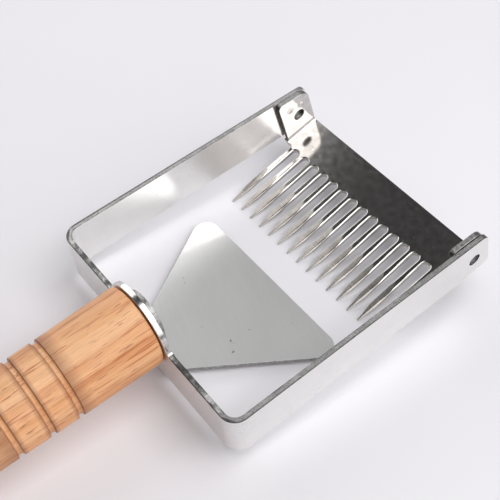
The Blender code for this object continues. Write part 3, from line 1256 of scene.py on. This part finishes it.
    def _side_outline(self) -> Object:
        """Shape the comb's outline from the side.

        Returns:
            The cutter.
        """
        wide = self.ear_inner + 2 * PAST
        below = -SHEET - PAST
        pen = Scriber("ear_outline", Face.SIDE, (self.tip, below), -wide)
        pen.polygon(
            [
                (self.front + PAST, below, 0.0),
                (self.front + PAST, 0.0, 0.0),
                (self.front, 0.001, 0.0),
                (self.front, self._top_of_ear(self.front), 0.0045),
                (self.ear_rear, self._top_of_ear(self.ear_rear), 0.002),
                (self.ear_rear, 0.0005, 0.0),
                (self.tip, 0.0005, 0.0),
                (self.tip, below, 0.0),
            ]
        )
        return pen.raise_by(2 * wide)

    def _edge_share(self, start: Vector, end: Vector) -> float:
        """Give an edge its share of the rolled edge: whole round the tops of the slots and tines.

        Args:
            start: The edge's first end.
            end: Its second end.

        Returns:
            The share, from 0 to 1.
        """
        middle = (start + end) / 2
        on_top = min(start.z, end.z) > -TINY and max(start.z, end.z) < TINY
        if middle.y < self.tip + TINY:
            return 0.0
        if on_top and middle.y < self.slot_end + TINY and abs(middle.x) < self.ear_inner:
            return 1.0
        round_a_weld = middle.z > self.ear_bend and (start - end).length < 0.0002
        return 0.05 if round_a_weld else 0.28

    def _grinds(self) -> list[Facet]:
        """Lay out the facets that are ground on a tine, from the tine's middle line.

        The left facet dips a little to the left. The right one falls away steeply from their ridge.

        Returns:
            Three points on each facet.
        """
        slope = (SHEET - self.tip_thickness) / (self.grind - self.tip)
        ridge = self.ridge_shift / (self.grind - self.tip)

        def left(across: float, along: float) -> Vector:
            """Return a point on the left facet."""
            return Vector((across, along, slope * (along - self.grind) + self.left_dip * across))

        def right(across: float, along: float) -> Vector:
            """Return a point on the right facet."""
            off = ridge * (along - self.tip)
            top = slope * (along - self.grind) + self.left_dip * off
            return Vector((across, along, top - self.right_dip * (across - off)))

        places = ((0.0, self.grind), (0.001, self.grind), (0.0, self.tip))
        return [tuple(side(*place) for place in places) for side in (left, right)]

    def _grinder(self, facet: Facet) -> Object:
        """Lay one slab over each tine, with its lower side on the ground facet.

        Args:
            facet: Three points on the facet.

        Returns:
            The cutter.
        """
        first, second, third = facet
        facing = (second - first).cross(third - first).normalized()
        facing = facing if facing.z > 0 else -facing
        size = Vector((1.5 * self.width, 0.031, 0.003))
        centre = Vector((0.0, self.taper + 0.0015, 0.0))
        centre -= facing * (centre - first).dot(facing)
        put_down()
        bpy.ops.mesh.primitive_cube_add(size=1.0)
        slab = bpy.context.object
        along = Vector((0.0, 1.0, 0.0))
        across = along.cross(facing).normalized()
        along = facing.cross(across)
        axes = Matrix((across, along, facing)).transposed().to_4x4()
        raised = Matrix.Translation((0.0, 0.0, 0.5 * size.z))
        middle = self.first + self.width / 2
        place = Matrix.Translation(centre + Vector((middle, 0.0, 0.0)))
        slab.data.transform(place @ axes @ raised @ Matrix.Diagonal((*size, 1.0)))
        self._repeat(slab, self.tines)
        return slab

    def _is_ground(self, face: MeshPolygon) -> bool:
        """Tell whether a face lies on a ground facet.

        Args:
            face: A face of the comb, in its own plane.

        Returns:
            True on a ground facet.
        """
        number = round((face.center.x - self.first - self.width / 2) / self.pitch)
        middle = Vector((self.first + self.width / 2 + number * self.pitch, 0.0, 0.0))
        for first, second, third in self._grinds():
            facing = (second - first).cross(third - first).normalized()
            level = abs((face.center - middle - first).dot(facing)) < 0.00002
            if level and abs(face.normal.dot(facing)) > 0.99 and face.center.y < self.slot_end:
                return True
        return False

    def _surface_of(self, face: MeshPolygon) -> Surface:
        """Tell which surface a face belongs to.

        Args:
            face: A face of the piece, in its shaping axes.

        Returns:
            The surface.
        """
        if self._is_ground(face):
            return Surface.DRESSED
        front = face.normal.y > 0.6
        ear = face.center.z > self.ear_bend and abs(face.normal.x) < 0.7
        # The ears' rear edges take the near-black finish: painted shade for the shadow in the gap beside the
        # arms.
        if ear and face.normal.y < -0.6 and abs(face.center.x) > self.ear_inner + 0.0002:
            return Surface.SCORCHED
        return Surface.CUT_EDGE if front or ear else Surface.SHEET


@dataclass
class GuidePlate:
    """A fan of sheet that slopes down and forward, with an upright lug against the tab."""

    slope: float = 0.122
    top_at_wall: float = -0.001
    front: float = 0.0564
    half_rear: float = 0.0094
    half_front: float = 0.0430
    corner: float = 0.0055
    bend: float = 0.002
    lug_centre: float = 0.0223
    shoulder: float = 0.0022
    fan_start: float = 0.0055
    axis_height: float = SCREW_HEIGHT
    hole: float = 0.0024
    sink: float = 0.0050
    edge: float = 0.00022

    def build(self, finishes: Finishes) -> Object:
        """Model and dress the guide plate.

        Args:
            finishes: The tool's materials.

        Returns:
            The finished piece.
        """
        piece = self._section()
        cut(piece, self._fan_outline(), "INTERSECT")
        cut(piece, self._lug_outline(), "INTERSECT")
        cut(piece, self._countersink())
        soften(piece, self.edge, 3)
        smooth(piece)
        store_places(piece, lambda place: place)
        materials = (finishes.brushed, finishes.cut_edge)
        dress(piece, materials, self._surface_of)
        lay_down(piece, "guide_plate")
        return piece

    def upper(self, along: float) -> float:
        """Return the height of the fan's upper side."""
        return self.top_at_wall - self.slope * (along - SHEET)

    def _section(self) -> Object:
        """Bend the sheet at its full width.

        Returns:
            The bent sheet.
        """
        rear = SHEET + GAP
        ahead = self.front + PAST
        high = self.lug_centre + self.half_rear + PAST
        drop = SHEET * math.hypot(1.0, self.slope)
        wide = self.half_front + PAST
        pen = Scriber("guide_fan", Face.SIDE, (rear, high), -wide)
        pen.polygon(
            [
                (rear, self.upper(rear) - drop, self.bend + SHEET),
                (ahead, self.upper(ahead) - drop, 0.0),
                (ahead, self.upper(ahead), 0.0),
                (rear + SHEET, self.upper(rear + SHEET), self.bend),
                (rear + SHEET, high, 0.0),
            ]
        )
        return pen.raise_by(2 * wide)

    def _fan_outline(self) -> Object:
        """Shape the fan's outline from above.

        Returns:
            The cutter.
        """
        spread = (self.half_front - self.half_rear) / (self.front - SHEET)
        half = self.half_rear + spread * (self.fan_start - SHEET)
        pen = Scriber("fan_outline", Face.PLAN, (-half, -PAST), -0.05)
        pen.polygon(
            [
                (half, -PAST, 0.0),
                (half, self.fan_start, 0.0),
                (self.half_front, self.front, self.corner),
                (-self.half_front, self.front, self.corner),
                (-half, self.fan_start, 0.0),
            ]
        )
        return pen.raise_by(0.1)

    def _lug_outline(self) -> Object:
        """Shape the plate's outline from the front.

        Returns:
            The cutter.
        """
        wide = self.half_front + 2 * PAST
        low = -0.03
        pen = Scriber("lug_outline", Face.FRONT, (-wide, low), -0.1)
        pen.line((wide, low), (wide, self.shoulder), (self.half_rear, self.shoulder))
        pen.line((self.half_rear, self.lug_centre))
        pen.arc(Vector((0.0, self.lug_centre)), math.pi, 5.0)
        pen.line((-self.half_rear, self.shoulder), (-wide, self.shoulder))
        return pen.raise_by(0.12)

    def _countersink(self) -> Object:
        """Shape the screw's hole and its sunk head.

        Returns:
            The cutter.
        """
        face = 2 * SHEET + GAP
        pen = Scriber("countersink", Face.SIDE, (face + GAP, self.axis_height))
        pen.line((face + GAP, self.axis_height + self.sink), (SHEET, self.axis_height + self.hole))
        pen.line((0.0, self.axis_height + self.hole), (0.0, self.axis_height))
        pivot = Vector((0.0, 0.0, self.axis_height))
        return pen.turn_round(pivot, Vector((0.0, 1.0, 0.0)), 48)

    def _surface_of(self, face: MeshPolygon) -> Surface:
        """Tell which surface a face belongs to.

        Args:
            face: A face of the piece, in its shaping axes.

        Returns:
            The surface.
        """
        sideways = abs(face.normal.x)
        ends = face.center.y > self.front - 0.0003 and face.normal.y > 0.5
        top = face.center.z > SHEET and abs(face.normal.y) < 0.6
        return Surface.CUT_EDGE if sideways > 0.45 or ends or top else Surface.SHEET


@dataclass
class Handle:
    """Turned wooden handle with three grooves, on the screw's axis."""

    axis_height: float = SCREW_HEIGHT
    radius: float = 0.0151
    taper: float = 0.02
    length: float = 0.126
    edge: float = 0.0014
    swell_start: float = 0.070
    swell_at: float = 0.106
    swell_radius: float = 0.015
    grooves: tuple[float, ...] = (0.0320, 0.0423, 0.0537)
    groove_half: float = 0.0011
    groove_depth: float = 0.0010
    bore: float = 0.0024
    bore_depth: float = 0.0306
    steps: int = 128

    def build(self, finishes: Finishes) -> Object:
        """Model and dress the handle.

        Args:
            finishes: The tool's materials.

        Returns:
            The finished piece.
        """
        front = -GAP
        edge = self.radius_at(GAP) - self.edge
        pen = Scriber("turned_handle", Face.SIDE, (-self.bore_depth - self.bore, 0.0))
        pen.line((-self.bore_depth, self.bore), (front, self.bore), (front, edge * 0.5), (front, edge))
        pen.arc(Vector((front - self.edge, edge)), math.pi / 2)
        for back in self.grooves:
            self._groove(pen, back)
        steps = 36
        for i in range(steps + 1):
            share = math.sin(0.5 * math.pi * i / steps)
            back = self.swell_start + (self.length - self.swell_start) * share
            pen.line((-back, self.radius_at(back)))
        piece = pen.turn_round(Vector(), Vector((0.0, 1.0, 0.0)), self.steps)
        pick_up(piece)
        bpy.ops.object.shade_smooth_by_angle(angle=math.radians(35.0))
        store_places(piece, lambda place: place)
        self._burn(piece)
        piece.data.materials.append(finishes.wood)
        lay_down(piece, "handle", Matrix.Translation((0.0, 0.0, self.axis_height)))
        return piece

    def radius_at(self, back: float) -> float:
        """Find the wood's radius.

        Args:
            back: The distance behind the tab.

        Returns:
            The radius, without the grooves.
        """
        if back <= self.swell_start:
            return self.radius - self.taper * back
        if back > self.swell_at:
            share = (back - self.swell_at) / (self.length - self.swell_at)
            return self.swell_radius * math.sqrt(max(0.0, 1.0 - share**2.4))
        waist = self.radius - self.taper * self.swell_start
        share = (back - self.swell_start) / (self.swell_at - self.swell_start)
        return waist + (self.swell_radius - waist) * (0.5 - 0.5 * math.cos(math.pi * share))

    def _groove(self, pen: Scriber, back: float) -> None:
        """Draw the wood up to one groove and round its bottom.

        Args:
            pen: The scriber that draws the handle's outline.
            back: The groove's distance behind the tab.
        """
        steps = 8
        previous = -pen.at.x
        stops = 6
        for i in range(1, stops):
            between = previous + (back - self.groove_half - previous) * i / stops
            pen.line((-between, self.radius_at(between)))
        for i in range(steps + 1):
            turn = math.pi * i / steps
            along = back - self.groove_half * math.cos(turn)
            pen.line((-along, self.radius_at(along) - self.groove_depth * math.sin(turn) ** 0.8))

    def _burn(self, piece: Object) -> None:
        """Store how far each point is darkened by the grooves' burning.

        Args:
            piece: The handle, in its shaping axes.
        """
        attribute = piece.data.attributes.new("burn", "FLOAT", "POINT")
        for vertex in piece.data.vertices:
            back = -vertex.co.y
            spoke = math.hypot(vertex.co.x, vertex.co.z)
            share = 0.0
            for groove in self.grooves:
                off = abs(back - groove) / self.groove_half
                if off < 1.15 and spoke > self.bore * 2:
                    share = max(share, 0.08 + 0.72 * math.exp(-((off - 0.9) ** 2) / 0.025))
            attribute.data[vertex.index].value = share


@dataclass
class Fastenings:
    """The countersunk screw in the lug, and the four spot welds through the ears."""

    axis_height: float = SCREW_HEIGHT
    shank: float = 0.0021
    root: float = 0.0016
    head: float = 0.0044
    length: float = 0.030
    thread: float = 0.0018
    ear_inner: float = EAR_INNER
    weld_places: tuple[tuple[str, float, float], ...] = WELD_PLACES
    weld_radius: float = 0.00165

    def build(self, finishes: Finishes) -> list[Object]:
        """Model and dress the fastenings.

        Args:
            finishes: The tool's materials.

        Returns:
            The screw and the welds.
        """
        made = [self._screw(finishes.plated)]
        for name, side in (("left", -1.0), ("right", 1.0)):
            for label, y, z in self.weld_places:
                made.append(self._weld(f"{name}_{label}", side, y, z, finishes.weld))
        return made

    def _screw(self, material: Material) -> Object:
        """Turn the wood screw, with its threads and its cross recess.

        Args:
            material: Its plating.

        Returns:
            The finished screw.
        """
        face = 2 * SHEET + GAP
        pen = Scriber("wood_screw", Face.SIDE, (face, 0.0))
        pen.line((face, self.head - 0.0002), (face - 0.0002, self.head), (SHEET, self.shank))
        turns = int((self.length - 0.004) / self.thread) - 1
        for i in range(turns):
            crest = -(i + 1.5) * self.thread
            pen.line((crest + self.thread / 3, self.root), (crest, self.shank))
            pen.line((crest - self.thread / 3, self.root))
        pen.line((-self.length, 0.0))
        screw = pen.turn_round(Vector(), Vector((0.0, 1.0, 0.0)), 48)
        recess = Scriber("recess", Face.FRONT, (0.0024, -0.00035), -face - PAST)
        for turn in range(4):
            for across, up in ((0.0024, -0.00035), (0.0024, 0.00035), (0.00055, 0.00055)):
                spun = Vector((across, up))
                spun.rotate(Matrix.Rotation(turn * math.pi / 2, 2))
                recess.line(tuple(spun))
        cut(screw, recess.raise_by(PAST + 0.0012))
        soften(screw, 0.00006, 1, 40.0)
        smooth(screw)
        store_places(screw, lambda place: place)
        screw.data.materials.append(material)
        lay_down(screw, "handle_screw", Matrix.Translation((0.0, 0.0, self.axis_height)))
        return screw

    def _weld(self, name: str, side: float, y: float, z: float, material: Material) -> Object:
        """Turn one weld, a shallow dimple with a raised rim.

        Args:
            name: Which weld it is.
            side: -1 for the left ear and 1 for the right one.
            y: Its place forward.
            z: Its height.
            material: Its finish.

        Returns:
            The finished weld.
        """
        rim = self.ear_inner - 0.00005
        deep = self.ear_inner + SHEET + 0.0006
        pen = Scriber(f"weld_{name}", Face.FRONT, (rim + 0.0003, 0.0))
        pen.line((rim + 0.00028, self.weld_radius * 0.35), (rim + 0.00012, self.weld_radius * 0.7))
        pen.line((rim, self.weld_radius * 0.88), (rim + 0.0001, self.weld_radius))
        pen.line((deep, self.weld_radius * 0.9), (deep, 0.0))
        weld = pen.turn_round(Vector(), Vector((1.0, 0.0, 0.0)), 32)
        weld.data.transform(Matrix.Diagonal((side, 1.0, 1.0, 1.0)))
        if side < 0:
            weld.data.flip_normals()
        weld.data.transform(Matrix.Translation((0.0, y, z)))
        pick_up(weld)
        bpy.ops.object.shade_smooth_by_angle(angle=math.radians(60.0))
        store_places(weld, lambda place: place)
        weld.data.materials.append(material)
        lay_down(weld, f"spot_weld_{name}")
        return weld


@dataclass(frozen=True)
class SoftLamp:
    """One large upright lamp with a soft, even glow.

    The bearing is in degrees from +Y towards +X. The span and the rise are in units of the lamp's distance.
    """

    name: str
    bearing: float
    off: float
    span: tuple[float, float]
    rise: tuple[float, float]
    glow: float

    def hang(self) -> None:
        """Add the lamp to the scene."""
        turn = math.radians(self.bearing)
        outward = Vector((math.sin(turn), math.cos(turn), 0.0))
        along = Vector((math.cos(turn), -math.sin(turn), 0.0))
        upward = Vector((0.0, 0.0, 1.0))
        middle = outward + along * sum(self.span) / 2 + upward * sum(self.rise) / 2
        put_down()
        bpy.ops.object.light_add(type="AREA", location=middle * self.off)
        lamp = bpy.context.object
        lamp.name = self.name
        lamp.data.shape = "RECTANGLE"
        lamp.data.size = (self.span[1] - self.span[0]) * self.off
        lamp.data.size_y = (self.rise[1] - self.rise[0]) * self.off
        lamp.data.energy = self.glow * math.pi * lamp.data.size * lamp.data.size_y
        lamp.rotation_euler = (-outward).to_track_quat("-Z", "Y").to_euler()


@dataclass(frozen=True)
class CeilingLamp:
    """One large flat lamp overhead, facing down."""

    name: str
    place: tuple[float, float, float]
    size: tuple[float, float]
    glow: float

    def hang(self) -> None:
        """Add the lamp to the scene."""
        put_down()
        bpy.ops.object.light_add(type="AREA", location=self.place)
        lamp = bpy.context.object
        lamp.name = self.name
        lamp.data.shape = "RECTANGLE"
        lamp.data.size, lamp.data.size_y = self.size
        lamp.data.energy = self.glow * math.pi * self.size[0] * self.size[1]


@dataclass(frozen=True)
class Studio:
    """The pale bench, the soft lamps and the camera."""

    eye: tuple[float, float, float] = (0.151466, -0.081595, 0.272707)
    aim: tuple[float, float, float] = (-0.017833, 0.065453, 0.0)
    roll: float = math.radians(-2.757)
    lens: float = 64.8
    sky: Colour = (0.06, 0.06, 0.062)
    lamps: tuple[SoftLamp | CeilingLamp, ...] = (
        SoftLamp("left_lamp", bearing=-97.0, off=0.8, span=(-0.42, 1.28), rise=(0.06, 1.615), glow=1.75),
        SoftLamp("right_lamp", bearing=80.0, off=0.9, span=(-1.07, 1.19), rise=(0.17, 1.75), glow=1.5),
        CeilingLamp("top_lamp", (0.42, 0.28, 1.1), (1.0, 1.2), 2.65),
    )

    def build(self) -> None:
        """Set up the studio."""
        put_down()
        bpy.ops.mesh.primitive_plane_add(size=16.0, location=(0.0, 0.0, 0.0))
        bench = bpy.context.object
        bench.name = "bench_top"
        bench.data.materials.append(FloorPaint().make())
        for lamp in self.lamps:
            lamp.hang()
        self._air()
        self._camera()

    def _air(self) -> None:
        """Light the room evenly and show colours plainly."""
        world = bpy.data.worlds.new("studio")
        world.use_nodes = True
        background = world.node_tree.nodes["Background"]
        background.inputs["Color"].default_value = (*self.sky, 1.0)
        bpy.context.scene.world = world
        bpy.context.scene.view_settings.view_transform = "Standard"

    def _camera(self) -> None:
        """Place the camera."""
        camera = bpy.data.objects.new("camera", bpy.data.cameras.new("camera"))
        bpy.context.scene.collection.objects.link(camera)
        camera.data.lens = self.lens
        camera.data.clip_start = 0.01
        sight = Vector(self.aim) - Vector(self.eye)
        rolled = Quaternion(sight.normalized(), self.roll) @ sight.to_track_quat("-Z", "Y")
        camera.location = self.eye
        camera.rotation_euler = rolled.to_euler()
        bpy.context.scene.camera = camera


def main() -> None:
    """Build the tool and its studio."""
    logging.basicConfig(level=logging.INFO, format="%(name)s: %(message)s")
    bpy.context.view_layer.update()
    finishes = Finishes.make()
    StripFrame(half_width=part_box("frame")[1].x).build(finishes)
    Comb().build(finishes)
    GuidePlate().build(finishes)
    Handle().build(finishes)
    Fastenings().build(finishes)
    Studio().build()


if __name__ == "__main__":
    main()
